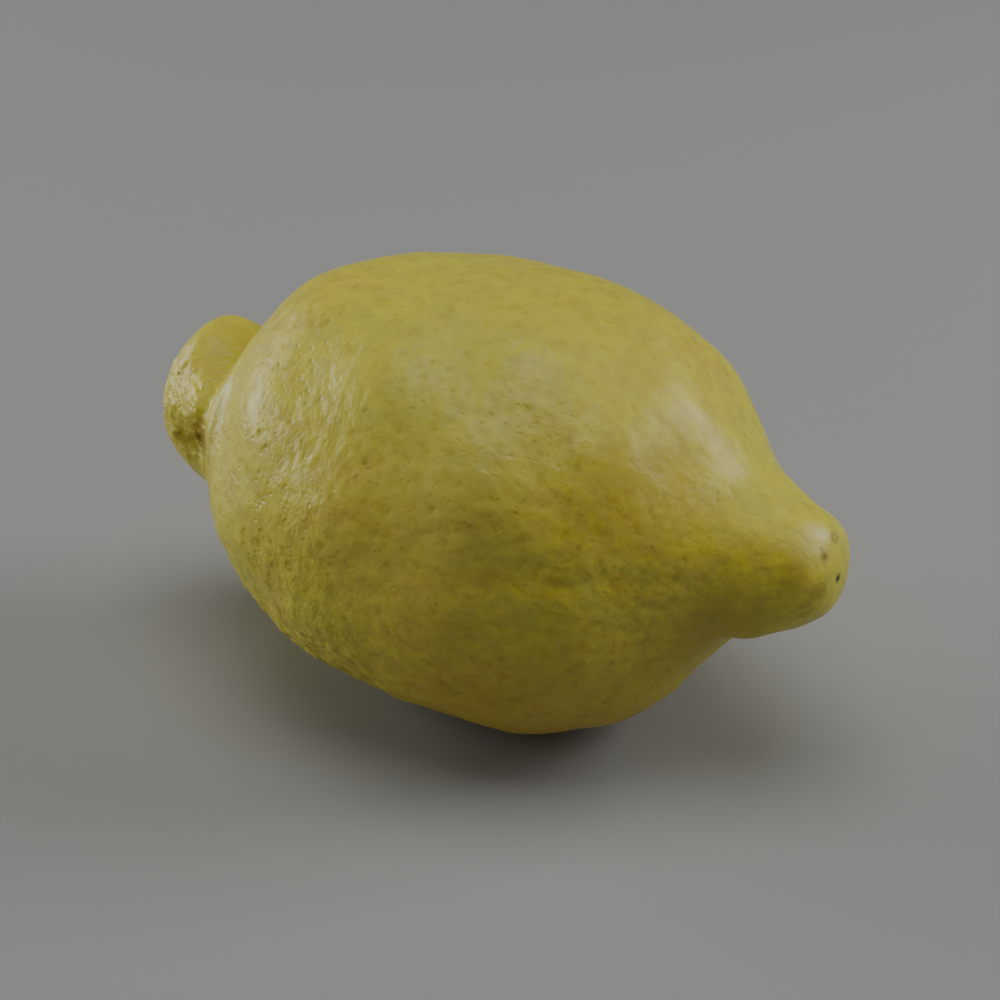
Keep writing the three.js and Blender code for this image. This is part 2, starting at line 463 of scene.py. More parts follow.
@dataclass(frozen=True)
class PeelFinish:
    """Ripe lemon peel: waxy, mottled between green and orange, with dark oil glands, and with some patches of
    painted shade and painted light.

    The sizes of the patterns are in mm, and the heights of the relief too.
    """

    ripe: Colour = srgb(217, 207, 68)
    warm: Colour = srgb(208, 191, 72)
    green: Colour = srgb(202, 197, 76)
    smudge_shade: Colour = (0.78, 0.68, 0.4)
    gland_shade: Colour = (0.54, 0.47, 0.2)
    roughness: float = 0.39
    gland_pitch: float = 1.15
    gland_depth: float = 0.038
    freckle_pitch: float = 4.2
    pebble_height: float = 0.095
    smudge_height: float = 0.1
    wrinkle_height: float = 0.16
    grain_height: float = 0.012
    streak_height: float = 0.17
    # real stains and scars of the peel, together with tints of painted shade and painted light
    patches: tuple[Patch, ...] = (
        Patch(at=-38.0, towards=100, radius=7.0, colour=srgb(210, 182, 56), strength=0.35),
        # painted sheen: a paler, whiter tint over the top of the fruit
        Patch(at=8.0, towards=112, radius=26.0, colour=srgb(206, 197, 82), strength=0.35),
        # painted shade: a darker, warmer tint over the lower flank, which faces away from the light
        Patch(at=18.0, towards=222, radius=36.0, colour=srgb(204, 171, 54), strength=0.55),
        # painted shade: dims the far shoulder beside its highlight
        Patch(at=30.0, towards=138, radius=14.0, colour=srgb(180, 153, 56), strength=0.55, stretch=1.3),
        # painted shade: darkens the underside that faces the floor
        Patch(at=14.0, towards=240, radius=22.0, colour=srgb(166, 132, 28), strength=0.5),
        Patch(at=23.5, towards=166, radius=1.3, colour=srgb(168, 140, 24), strength=0.45, stretch=4.5),
        # painted sheen: a paler, less saturated tint over the middle of the flank
        Patch(at=8.0, towards=156, radius=17.0, colour=srgb(204, 188, 88), strength=0.45, stretch=1.4),
        Patch(at=16.0, towards=168, radius=2.4, colour=srgb(180, 150, 44), strength=0.3, stretch=3.0),
        Patch(at=30.0, towards=169, radius=2.8, colour=srgb(180, 156, 40), strength=0.3, stretch=2.0),
        # painted shade: darkens the hollow under the nipple
        Patch(at=38.0, towards=205, radius=11.0, colour=srgb(180, 148, 48), strength=0.4),
        Patch(at=12.0, towards=204, radius=6.0, colour=srgb(176, 152, 34), strength=0.3, stretch=1.8),
        Patch(at=-36.8, towards=163, radius=4.6, colour=srgb(150, 114, 8), strength=0.75),
        Patch(at=-38.6, towards=167, radius=2.2, colour=srgb(128, 88, 14), strength=0.5),
        Patch(at=-34.5, towards=182, radius=6.0, colour=srgb(186, 144, 34), strength=0.7),
        Patch(at=-42.8, towards=175, radius=2.4, colour=srgb(152, 124, 12), strength=0.5),
        # partly the pale scarred cap of the tip, partly a painted highlight on it
        Patch(at=47.6, towards=120, radius=4.2, colour=srgb(216, 202, 126), strength=0.5),
        Patch(at=46.5, towards=160, radius=3.0, colour=srgb(160, 136, 30), strength=0.3),
        Patch(at=48.8, towards=176, radius=2.4, colour=srgb(132, 104, 22), strength=0.45),
        Patch(at=49.8, towards=150, radius=0.9, colour=srgb(48, 34, 12), strength=0.95),
        Patch(at=48.6, towards=123, radius=0.9, colour=srgb(112, 92, 44), strength=0.7),
        Patch(at=48.2, towards=118, radius=0.5, colour=srgb(110, 90, 40), strength=0.5),
        Patch(at=48.4, towards=86, radius=1.2, colour=srgb(118, 100, 52), strength=0.7),
        Patch(at=48.4, towards=86, radius=0.5, colour=srgb(206, 196, 90), strength=0.9),
    )

    def material(self, form: FruitForm, placing: Placing) -> bpy.types.Material:
        """Builds the peel's material.

        Args:
            form: The fruit's form, which says where its patches lie.
            placing: Where the form lies in the frame.

        Returns:
            The material.
        """
        material = bpy.data.materials.new("lemon_peel")
        material.use_nodes = True
        material.node_tree.nodes.clear()
        wiring = Wiring(material.node_tree)
        place = wiring.add("ShaderNodeTexCoord").outputs["Object"]
        pore = self.mark(wiring, Mark.PORE)
        body = self.mark(wiring, Mark.BODY)
        speck = wiring.sum("MULTIPLY", self.specks(wiring, place), body)
        smudge = self.noise(wiring, place, (2.0, 1.5, 1.5), 1.5, 0.4)
        colour = self.mottle(wiring, place)
        ragged = wiring.sum("MULTIPLY_ADD", self.noise(wiring, place, (0.9, 0.9, 0.9), 3.0), 1.7, 0.15)
        for patch in self.patches:
            colour = self.patched(wiring, colour, place, ragged, patch, form, placing)
        hollow = wiring.sum("MULTIPLY", wiring.step(smudge, 0.5, 0.3, 0.0, 0.45), body)
        colour = self.mixed(wiring, hollow, colour, self.smudge_shade, "MULTIPLY")
        colour = self.glands(wiring, colour, place, pore, speck)
        shader = wiring.add(
            "ShaderNodeBsdfPrincipled",
            Base_Color=colour,
            Roughness=self.sheen(wiring, place, pore),
            IOR=1.45,
            Normal=self.relief(wiring, place, speck, smudge),
        )
        wiring.add("ShaderNodeOutputMaterial", Surface=shader.outputs["BSDF"])
        return material

    @staticmethod
    def mark(wiring: Wiring, mark: Mark) -> bpy.types.NodeSocket:
        """Reads one of the mesh's attributes."""
        return wiring.add("ShaderNodeAttribute", {"attribute_name": mark.value}).outputs["Fac"]

    @staticmethod
    def noise(
        wiring: Wiring,
        place: bpy.types.NodeSocket,
        pitch: Sequence[float],
        detail: float = 2.0,
        distortion: float = 0.0,
    ) -> bpy.types.NodeSocket:
        """Noise with its own pitch along each axis.

        Args:
            wiring: The material's wiring.
            place: Object coordinates.
            pitch: The size of its lumps along X, Y and Z in mm.
            detail: How many finer layers it has.
            distortion: How far it is pulled out of shape.

        Returns:
            The noise, about 0 to 1.
        """
        scale = tuple(1.0 / (p * MM) for p in pitch)
        stretched = wiring.vector("MULTIPLY", place, scale).outputs["Vector"]
        return wiring.add(
            "ShaderNodeTexNoise", Vector=stretched, Scale=1.0, Detail=detail, Distortion=distortion
        ).outputs["Fac"]

    @staticmethod
    def mixed(
        wiring: Wiring, share: object, under: object, over: object, blend: str = "MIX"
    ) -> bpy.types.NodeSocket:
        """One colour laid over another.

        Args:
            wiring: The material's wiring.
            share: How much of the upper colour shows.
            under: The lower colour.
            over: The upper colour.
            blend: How the upper colour acts on the lower one, such as MULTIPLY.

        Returns:
            The mixed colour.
        """
        node = wiring.add("ShaderNodeMix", {"data_type": "RGBA", "blend_type": blend})
        colours = [socket for socket in node.inputs if socket.type == "RGBA"]
        wiring.feed(node.inputs["Factor"], share)
        for socket, colour in zip(colours, (under, over)):
            wiring.feed(socket, (*colour, 1.0) if isinstance(colour, tuple) else colour)
        return next(socket for socket in node.outputs if socket.type == "RGBA")

    def mottle(self, wiring: Wiring, place: bpy.types.NodeSocket) -> bpy.types.NodeSocket:
        """The peel's ground colour, drifting between green and warm yellow.

        Args:
            wiring: The material's wiring.
            place: Object coordinates.

        Returns:
            The colour.
        """
        broad = wiring.step(self.noise(wiring, place, (26, 20, 20)), 0.36, 0.64)
        cloud = wiring.step(self.noise(wiring, place, (3.4, 2.6, 2.6), 3.0), 0.38, 0.6, 0.0, 0.85)
        ground = self.mixed(wiring, broad, self.green, self.warm)
        return self.mixed(wiring, cloud, ground, self.ripe)

    def specks(self, wiring: Wiring, place: bpy.types.NodeSocket) -> bpy.types.NodeSocket:
        """Small oil glands that are finer than the mesh, a little longer along the fruit.

        Args:
            wiring: The material's wiring.
            place: Object coordinates.

        Returns:
            1 in the middle of each gland and 0 between them.
        """
        drift = self.noise(wiring, place, (2.2, 2.2, 2.2), 1.0)
        pushed = wiring.vector("SCALE", (1.0, 1.0, 1.0))
        wiring.feed(pushed.inputs["Scale"], wiring.sum("MULTIPLY", drift, self.gland_pitch * MM))
        moved = wiring.vector("ADD", place, pushed.outputs["Vector"]).outputs["Vector"]
        stretched = wiring.vector("MULTIPLY", moved, (0.8, 1.0, 1.0)).outputs["Vector"]
        cells = wiring.add(
            "ShaderNodeTexVoronoi", Vector=stretched, Scale=1.0 / (self.gland_pitch * MM), Randomness=1.0
        )
        size = wiring.step(cells.outputs["Color"], 0.2, 0.9, 0.18, 0.46)
        return wiring.step(cells.outputs["Distance"], size, wiring.sum("MULTIPLY", size, 0.1))

    def glands(
        self,
        wiring: Wiring,
        colour: bpy.types.NodeSocket,
        place: bpy.types.NodeSocket,
        pore: bpy.types.NodeSocket,
        speck: bpy.types.NodeSocket,
    ) -> bpy.types.NodeSocket:
        """Darkens the oil glands, more in some places than in others, and streaks the nipple.

        Args:
            wiring: The material's wiring.
            colour: The peel's colour so far.
            place: Object coordinates.
            pore: How deep the mesh's own pits are, from 0 to 1.
            speck: How far a point is inside a small gland.

        Returns:
            The colour.
        """
        patchy = wiring.step(self.noise(wiring, place, (5.5, 5.5, 5.5), 2.0), 0.38, 0.64, 0.1, 0.4)
        small = wiring.sum("MULTIPLY", speck, patchy)
        rare = wiring.add("ShaderNodeTexVoronoi", Vector=place, Scale=1.0 / (self.freckle_pitch * MM))
        width = wiring.step(rare.outputs["Color"], 0.35, 0.9, 0.02, 0.12)
        freckle = wiring.step(rare.outputs["Distance"], width, wiring.sum("MULTIPLY", width, 0.3), 0.0, 0.6)
        small = wiring.sum("ADD", small, wiring.sum("MULTIPLY", freckle, self.mark(wiring, Mark.BODY)))
        both = wiring.sum("MULTIPLY_ADD", pore, 0.16, small)
        drawn = wiring.step(self.noise(wiring, place, (6.5, 1.5, 1.5), 3.0), 0.48, 0.68, 0.0, 0.2)
        streak = wiring.sum("MULTIPLY", drawn, self.mark(wiring, Mark.NIPPLE))
        share = wiring.sum("ADD", both, streak, clamp=True)
        return self.mixed(wiring, share, colour, self.gland_shade, "MULTIPLY")

    def patched(
        self,
        wiring: Wiring,
        colour: bpy.types.NodeSocket,
        place: bpy.types.NodeSocket,
        ragged: bpy.types.NodeSocket,
        patch: Patch,
        form: FruitForm,
        placing: Placing,
    ) -> bpy.types.NodeSocket:
        """Adds one patch with a ragged, soft edge.

        Args:
            wiring: The material's wiring.
            colour: The peel's colour so far.
            place: Object coordinates.
            ragged: Noise about 1 that breaks the patch's edge.
            patch: The tinted or stained place.
            form: The fruit's form.
            placing: Where the form lies in the frame.

        Returns:
            The colour.
        """
        share = np.linspace(0.0, 1.0, 1201)
        x, _ = form.meridian(share)
        nearest = share[np.abs(x - patch.at).argmin()]
        turn = np.array([math.radians(patch.towards)])
        middle = placing.in_frame(form.peel(np.array([nearest]), turn))[0] * MM
        off = wiring.vector("SUBTRACT", place, tuple(middle)).outputs["Vector"]
        shrunk = wiring.vector("MULTIPLY", off, (1.0 / patch.stretch, 1.0, 1.0)).outputs["Vector"]
        away = wiring.sum("MULTIPLY", wiring.vector("LENGTH", shrunk).outputs["Value"], ragged)
        spot = wiring.step(away, patch.radius * MM, 0.15 * patch.radius * MM, 0.0, patch.strength)
        share = wiring.sum("MULTIPLY", spot, ragged, clamp=True)
        return self.mixed(wiring, share, colour, patch.colour)

    def sheen(
        self, wiring: Wiring, place: bpy.types.NodeSocket, pore: bpy.types.NodeSocket
    ) -> bpy.types.NodeSocket:
        """Roughness: waxy between the glands and duller in them.

        Args:
            wiring: The material's wiring.
            place: Object coordinates.
            pore: How deep the mesh's own pits are, from 0 to 1.

        Returns:
            The roughness.
        """
        worn = wiring.sum("MULTIPLY", self.noise(wiring, place, (2.4, 2.4, 2.4)), 0.2)
        dull = wiring.sum("MULTIPLY_ADD", pore, 0.12, worn)
        return wiring.sum("ADD", dull, self.roughness - 0.1)

    def relief(
        self,
        wiring: Wiring,
        place: bpy.types.NodeSocket,
        speck: bpy.types.NodeSocket,
        smudge: bpy.types.NodeSocket,
    ) -> bpy.types.NodeSocket:
        """The fine relief of the skin.

        Args:
            wiring: The material's wiring.
            place: Object coordinates.
            speck: How far a point is inside a small gland.
            smudge: The noise whose hollows are darker.

        Returns:
            The bumped normal.
        """
        wound = wiring.add(
            "ShaderNodeCombineXYZ", X=self.mark(wiring, Mark.ALONG), Y=self.mark(wiring, Mark.AROUND)
        ).outputs[0]
        layers = (
            (self.noise(wiring, wound, (0.65, 1.05, 1.0), 1.0, 0.4), Mark.RIDGED, self.pebble_height),
            (smudge, Mark.BODY, self.smudge_height),
            (self.noise(wiring, place, (0.8, 0.8, 0.8), 1.0, 1.0), Mark.COLLAR, self.wrinkle_height),
            (self.noise(wiring, place, (5.0, 1.6, 1.6), 1.5, 0.3), Mark.NIPPLE, self.streak_height),
        )
        grain = self.noise(wiring, place, (0.5, 0.45, 0.45), 2.0)
        height = wiring.sum("MULTIPLY", grain, self.grain_height)
        for layer, mark, rise in layers:
            raised = wiring.sum("MULTIPLY", layer, rise)
            height = wiring.sum("MULTIPLY_ADD", raised, self.mark(wiring, mark), height)
        deeper = wiring.sum("MULTIPLY_ADD", self.mark(wiring, Mark.PITTED), 1.0, 1.0)
        depth = wiring.sum("MULTIPLY", wiring.sum("MULTIPLY", speck, deeper), -self.gland_depth)
        height = wiring.sum("ADD", depth, height)
        return wiring.add("ShaderNodeBump", Strength=1.0, Distance=MM, Height=height).outputs["Normal"]


@dataclass(frozen=True)
class DriedStemFinish:
    """The dry calyx: grey-green felt that fades to brown, with a paler stub and its cut end."""

    felt: Colour = srgb(152, 150, 112)
    brown: Colour = srgb(104, 84, 52)
    wood: Colour = srgb(176, 158, 118)
    cut: Colour = srgb(200, 194, 176)

    def material(self, cut_x: float) -> bpy.types.Material:
        """Builds the material.

        Args:
            cut_x: Where the stub's cut end lies in the frame, in mm.

        Returns:
            The material.
        """
        material = bpy.data.materials.new("dried_stem")
        material.use_nodes = True
        material.node_tree.nodes.clear()
        wiring = Wiring(material.node_tree)
        place = wiring.add("ShaderNodeTexCoord").outputs["Object"]
        patch = wiring.step(PeelFinish.noise(wiring, place, (1.2, 1.2, 1.2), 3.0), 0.4, 0.65)
        fibre = PeelFinish.noise(wiring, place, (1.6, 0.22, 0.22), 3.0)
        colour = PeelFinish.mixed(wiring, patch, self.felt, self.brown)
        colour = PeelFinish.mixed(wiring, wiring.step(fibre, 0.5, 0.8, 0.0, 0.7), colour, self.wood)
        along = wiring.vector("DOT_PRODUCT", place, (1.0 / MM, 0.0, 0.0)).outputs["Value"]
        bare = wiring.step(along, cut_x + 1.6, cut_x + 0.8, 0.0, 0.85)
        colour = PeelFinish.mixed(wiring, bare, colour, self.cut)
        bump = wiring.add("ShaderNodeBump", Strength=0.8, Distance=0.15 * MM, Height=fibre)
        shader = wiring.add(
            "ShaderNodeBsdfPrincipled", Base_Color=colour, Roughness=0.85, Normal=bump.outputs["Normal"]
        )
        wiring.add("ShaderNodeOutputMaterial", Surface=shader.outputs["BSDF"])
        return material


# The pieces


def piece_from(name: str, points: np.ndarray, faces: list[tuple[int, ...]]) -> bpy.types.Object:
    """Makes a smooth mesh object that sits at the origin.

    Args:
        name: The piece's name.
        points: Its corners in mm, in the frame.
        faces: Its faces as rows of corner numbers.

    Returns:
        The object, linked to the scene.
    """
    mesh = bpy.data.meshes.new(name)
    mesh.from_pydata((points * MM).tolist(), [], faces)
    work = bmesh.new()
    work.from_mesh(mesh)
    bmesh.ops.recalc_face_normals(work, faces=work.faces)
    work.to_mesh(mesh)
    work.free()
    mesh.shade_smooth()
    piece = bpy.data.objects.new(name, mesh)
    bpy.context.scene.collection.objects.link(piece)
    return piece


def hand_over(piece: bpy.types.Object, node: str) -> None:
    """Tells the frame what a finished piece rides on, and hides the solid that it stands for.

    Args:
        piece: The finished piece.
        node: The solid that it replaces.
    """
    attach(piece, "root")
    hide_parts(node)
    log.info("%s: %d faces", piece.name, len(piece.data.polygons))


@dataclass
class Fruit:
    """The whole fruit in its pored peel.

    Attributes:
        form: Its outer form.
        placing: Where the form lies in the frame.
        finish: Its peel.
        cells_across_cap: Cells along an edge of the patch that closes each end.
        cells_along: Cells along the fruit between those patches.
        furrow: A faint crease that only the peel has, along the lower edge of the flank.
        dimple: A small dent beside the bridge of the collar, which only the peel has.
        calm_shoulder: How much smoother the far shoulder is, as a share of the relief.
        collar_ends: Where the collar's skin starts and is full, along the axis in mm.
        nipple_ends: Where the nipple's skin starts and is full, along the axis in mm.
        flat_rim: How high above the floor the relief is full, in mm.
        pore_spacing: How far apart the pits are, in mm.
        pore_radius: How wide a pit is from its middle, in mm.
        pore_depth: How deep a pit is, in mm.
        lump_pitch: How far apart the body's slow lumps are, in mm.
        lump_height: How high they stand, in mm.
        ridge_pitch: How far apart the short ridges of the stem half are, in mm.
        ridge_height: How high they stand, in mm.
        crease_pitch: How far apart the long creases of the other half are, in mm.
        crease_height: How high the skin stands between them, in mm.
        wrinkle_pitch: How far apart the wrinkles of the collar are, in mm.
        wrinkle_height: How high they stand, in mm.
        seed: The seed of the pits' places.
    """

    form: FruitForm
    placing: Placing
    finish: PeelFinish = field(default_factory=PeelFinish)
    cells_across_cap: int = 100
    cells_along: int = 194
    furrow: Swelling = Swelling(-0.45, at=22.0, reach=9.0, towards=166, spread=5)
    dimple: Swelling = Swelling(-0.4, at=-36.4, reach=1.6, towards=163, spread=8)
    calm_shoulder: Swelling = Swelling(-0.65, at=30.0, reach=8.0, towards=107, spread=26)
    collar_ends: tuple[float, float] = (-33.5, -37.5)
    nipple_ends: tuple[float, float] = (34.0, 42.0)
    flat_rim: float = 0.8
    pore_spacing: float = 2.1
    pore_radius: float = 0.8
    pore_depth: float = 0.13
    lump_pitch: float = 2.5
    lump_height: float = 0.26
    ridge_pitch: float = 1.15
    ridge_height: float = 0.24
    crease_pitch: float = 2.6
    crease_height: float = 0.27
    wrinkle_pitch: float = 1.6
    wrinkle_height: float = 2.0
    seed: int = 7

    def build(self) -> bpy.types.Object:
        """Builds and dresses the fruit.

        Returns:
            The finished piece.
        """
        share, turn, faces = self.skin_cells()
        low_relief = replace(self.form, swellings=(*self.form.swellings, self.furrow, self.dimple))
        points = self.placing.in_frame(low_relief.peel(share, turn))
        points[:, 2] = np.maximum(points[:, 2], 0.0)
        piece = piece_from("lemon_fruit", points, faces)
        self.mark_regions(piece, share, turn)
        self.pit(piece)
        return piece

    def skin_cells(self) -> tuple[np.ndarray, np.ndarray, list[tuple[int, ...]]]:
        """Cells of nearly one size all over: a sleeve between two square patches drawn round.

        Returns:
            The corners' shares along the meridian and turns round the axis, and the faces.
        """
        cells = self.cells_across_cap
        cap_share = cells / 2 / (cells + self.cells_along)
        shares, turns, faces = [], [], []
        steps = np.linspace(-1.0, 1.0, cells + 1)
        a, b = np.meshgrid(steps, steps, indexing="ij")
        ring = np.maximum(np.abs(a), np.abs(b))
        wide = np.abs(a) >= np.abs(b)
        with np.errstate(divide="ignore", invalid="ignore"):
            turn = np.where(wide, math.pi / 4 * b / a + np.where(a < 0, math.pi, 0.0),
                            math.pi / 2 - math.pi / 4 * a / b + np.where(b < 0, math.pi, 0.0))
        turn = np.nan_to_num(turn)
        grids = [(ring * cap_share, turn), (1.0 - ring * cap_share, turn)]
        along = np.linspace(cap_share, 1.0 - cap_share, self.cells_along + 1)
        around = -math.pi / 4 + np.arange(4 * cells + 1) * (math.pi / 2 / cells)
        grids.append(tuple(np.meshgrid(along, around, indexing="ij")))
        start = 0
        for grid_share, grid_turn in grids:
            rows, columns = grid_share.shape
            number = start + np.arange(rows * columns).reshape(rows, columns)
            quads = np.stack([number[:-1, :-1], number[1:, :-1], number[1:, 1:], number[:-1, 1:]], axis=-1)
            faces.append(quads.reshape(-1, 4))
            shares.append(grid_share.ravel())
            turns.append(grid_turn.ravel())
            start += rows * columns
        return self.welded(np.concatenate(shares), np.concatenate(turns), np.concatenate(faces))

    @staticmethod
    def welded(
        share: np.ndarray, turn: np.ndarray, faces: np.ndarray
    ) -> tuple[np.ndarray, np.ndarray, list[tuple[int, ...]]]:
        """Joins corners that lie in one place.

        Args:
            share: The corners' shares along the meridian.
            turn: The corners' turns round the axis in radians.
            faces: The faces as rows of corner numbers.

        Returns:
            The shares, turns and faces with each corner once.
        """
        polar = share * math.pi
        ball = np.stack([np.cos(polar), np.sin(polar) * np.cos(turn), np.sin(polar) * np.sin(turn)], axis=-1)
        _, kept, number = np.unique(np.round(ball, 6) + 0.0, axis=0, return_index=True, return_inverse=True)
        return share[kept], turn[kept], number.ravel()[faces].tolist()

    def mark_regions(self, piece: bpy.types.Object, share: np.ndarray, turn: np.ndarray) -> None:
        """Writes where the body, the collar and the nipple are, for the relief and the finish.

        Args:
            piece: The fruit's mesh object.
            share: The corners' shares along the meridian.
            turn: The corners' turns round the axis in radians.
        """
        x, _ = self.form.meridian(share)
        collar = eased(x, *self.collar_ends)
        nipple = eased(x, *self.nipple_ends)
        height = np.empty(len(piece.data.vertices) * 3)
        piece.data.vertices.foreach_get("co", height)
        clear = eased(height[2::3] / MM, 0.0, self.flat_rim)
        smooth_top = 1.0 - 0.25 * facing(turn, TOP, 45.0)
        calm = 1.0 + self.calm_shoulder.over(x, turn)
        body = (1.0 - collar) * (1.0 - 0.7 * nipple) * clear * smooth_top * calm
        wrinkled = 0.12 + 0.88 * facing(turn, BRIDGE, 26.0) + 0.55 * facing(turn, UNDER_BRIDGE, 26.0)
        low_flank = facing(turn, LOW_FLANK, 32.0)
        off_seam = eased(np.abs(turned_from(turn, SEAM)), 0.0, 12.0)
        ridged = eased(x, 8.0, -14.0) * (0.25 + 0.75 * eased(x, -25.0, -14.0)) * off_seam
        marks = {
            Mark.BODY: body,
            Mark.RIDGED: body * ridged * (1.0 + 1.3 * low_flank),
            Mark.PITTED: body * eased(x, 2.0, -16.0),
            Mark.CREASED: body * eased(x, -16.0, 8.0),
            Mark.COLLAR: collar * clear * wrinkled,
            Mark.NIPPLE: nipple * clear,
            Mark.LUMPED: body * (1.0 + 3.2 * low_flank * eased(x, 6.0, -16.0)),
            Mark.ALONG: share * self.form.meridian_length() * MM,
            Mark.AROUND: turn * self.form.girth_radius * MM,
        }
        for mark, values in marks.items():
            layer = piece.data.attributes.new(mark.value, "FLOAT", "POINT")
            layer.data.foreach_set("value", values.astype(np.float32))

    def pit(self, piece: bpy.types.Object) -> None:
        """Raises the lumps and sinks the oil glands, then keeps the result as a plain mesh.

        Args:
            piece: The fruit's mesh object.
        """
        material = self.finish.material(self.form, self.placing)
        tree = self.relief_tree(material)
        modifier = piece.modifiers.new("relief", "NODES")
        modifier.node_group = tree
        sizes = {
            "Pore spacing": self.pore_spacing * MM,
            "Pore radius": self.pore_radius * MM,
            "Pore depth": self.pore_depth * MM,
            "Lump pitch": self.lump_pitch * MM,
            "Lump height": self.lump_height * MM,
            "Ridge pitch": self.ridge_pitch * MM,
            "Ridge height": self.ridge_height * MM,
            "Crease pitch": self.crease_pitch * MM,
            "Crease height": self.crease_height * MM,
            "Wrinkle pitch": self.wrinkle_pitch * MM,
            "Wrinkle height": self.wrinkle_height * MM,
            "Seed": self.seed,
        }
        for item in tree.interface.items_tree:
            if item.name in sizes:
                modifier[item.identifier] = sizes[item.name]
        evaluated = piece.evaluated_get(bpy.context.evaluated_depsgraph_get())
        mesh = bpy.data.meshes.new_from_object(evaluated)
        piece.modifiers.clear()
        piece.data = mesh
        mesh.shade_smooth()

    def relief_tree(self, material: bpy.types.Material) -> bpy.types.NodeTree:
        """The geometry nodes that raise lumps and sink pits at seeded places.

        Args:
            material: The material that the finished mesh gets.

        Returns:
            The node tree.
        """
        tree = bpy.data.node_groups.new("peel_relief", "GeometryNodeTree")
        tree.interface.new_socket("Geometry", in_out="OUTPUT", socket_type="NodeSocketGeometry")
        tree.interface.new_socket("Geometry", in_out="INPUT", socket_type="NodeSocketGeometry")
        for kind in ("Lump", "Ridge", "Crease", "Wrinkle"):
            for size in ("pitch", "height"):
                tree.interface.new_socket(f"{kind} {size}", in_out="INPUT", socket_type="NodeSocketFloat")
        for size in ("spacing", "radius", "depth"):
            tree.interface.new_socket(f"Pore {size}", in_out="INPUT", socket_type="NodeSocketFloat")
        tree.interface.new_socket("Seed", in_out="INPUT", socket_type="NodeSocketInt")
        wiring = Wiring(tree)
        given = wiring.add("NodeGroupInput").outputs
        raised = self.raise_skin(wiring, given)
        sunk = self.sink_pores(wiring, given, raised)
        real = wiring.add("GeometryNodeRealizeInstances", Geometry=sunk)
        dressed = wiring.add("GeometryNodeSetMaterial", Geometry=real.outputs[0], Material=material)
        wiring.add("NodeGroupOutput", Geometry=dressed.outputs[0])
        return tree

    @staticmethod
    def region(wiring: Wiring, mark: Mark) -> bpy.types.NodeSocket:
        """Reads one of the mesh's attributes in the tree."""
        node = wiring.add("GeometryNodeInputNamedAttribute", {"data_type": "FLOAT"}, Name=mark.value)
        return node.outputs["Attribute"]

    def raise_skin(self, wiring: Wiring, given: object) -> bpy.types.NodeSocket:
        """Raises short ridges round the stem half, long creases along the rest, and wrinkles.

        Args:
            wiring: The tree's wiring.
            given: The tree's inputs.

        Returns:
            The uneven mesh.
        """
        place = wiring.add("GeometryNodeInputPosition").outputs[0]
        wound = wiring.add(
            "ShaderNodeCombineXYZ", X=self.region(wiring, Mark.ALONG), Y=self.region(wiring, Mark.AROUND)
        ).outputs[0]
        layers = (
            ("Lump", Mark.LUMPED, place, (1.0, 1.0, 1.0), 1.0, 0.0),
            ("Ridge", Mark.RIDGED, wound, (1.0, 0.55, 1.0), 0.5, 0.6),
            ("Crease", Mark.CREASED, place, (0.55, 1.0, 1.0), 0.4, 0.6),
            ("Wrinkle", Mark.COLLAR, place, (1.0, 0.8, 0.8), 0.3, 1.2),
        )
        height = 0.0
        for kind, mark, where, stretch, detail, distortion in layers:
            drawn = wiring.vector("MULTIPLY", where, stretch).outputs["Vector"]
            pitch = wiring.sum("DIVIDE", 1.0, given[f"{kind} pitch"])
            noise = wiring.add(
                "ShaderNodeTexNoise", Vector=drawn, Scale=pitch, Detail=detail, Distortion=distortion
            ).outputs["Fac"]
            level = wiring.sum("SUBTRACT", noise, 0.5)
            if mark is Mark.COLLAR:
                level = wiring.sum("SUBTRACT", wiring.sum("ABSOLUTE", level), 0.1)
            level = wiring.sum("MULTIPLY", level, given[f"{kind} height"])
            height = wiring.sum("MULTIPLY_ADD", level, self.region(wiring, mark), height)
        return self.pushed(wiring, given["Geometry"], height)

    def sink_pores(
        self, wiring: Wiring, given: object, mesh: bpy.types.NodeSocket
    ) -> bpy.types.NodeSocket:
        """Sinks a soft pit at each seeded place and writes how deep it is.

        Args:
            wiring: The tree's wiring.
            given: The tree's inputs.
            mesh: The lumpy mesh.

        Returns:
            The pitted mesh.
        """
        spread = wiring.add(
            "GeometryNodeDistributePointsOnFaces",
            {"distribute_method": "POISSON"},
            Mesh=mesh,
            Distance_Min=given["Pore spacing"],
            Density_Max=3.0e6,
            Seed=given["Seed"],
        ).outputs["Points"]
        place = wiring.add("GeometryNodeInputPosition").outputs[0]
        nearest = wiring.add("GeometryNodeSampleNearest", {"domain": "POINT"}, Geometry=spread).outputs[0]
        middle = wiring.add(
            "GeometryNodeSampleIndex", {"data_type": "FLOAT_VECTOR", "domain": "POINT"},
            Geometry=spread, Value=place, Index=nearest,
        ).outputs["Value"]
        size = wiring.add(
            "FunctionNodeRandomValue", {"data_type": "FLOAT"}, ID=nearest, Seed=given["Seed"]
        )
        size.inputs[2].default_value = 0.35
        size.inputs[3].default_value = 1.0
        share = size.outputs[1]
        away = wiring.vector("DISTANCE", place, middle).outputs["Value"]
        reach = wiring.sum("MULTIPLY", given["Pore radius"], share)
        hollow = wiring.sum("MULTIPLY", wiring.step(away, reach, 0.0), share)
        depth = wiring.sum("MULTIPLY", hollow, self.region(wiring, Mark.BODY))
        kept = wiring.add(
            "GeometryNodeStoreNamedAttribute", {"data_type": "FLOAT", "domain": "POINT"},
            Geometry=mesh, Name=Mark.PORE.value, Value=depth,
        ).outputs[0]
        sunk = wiring.sum("MULTIPLY", self.region(wiring, Mark.PORE), given["Pore depth"])
        return self.pushed(wiring, kept, wiring.sum("MULTIPLY", sunk, -1.0))

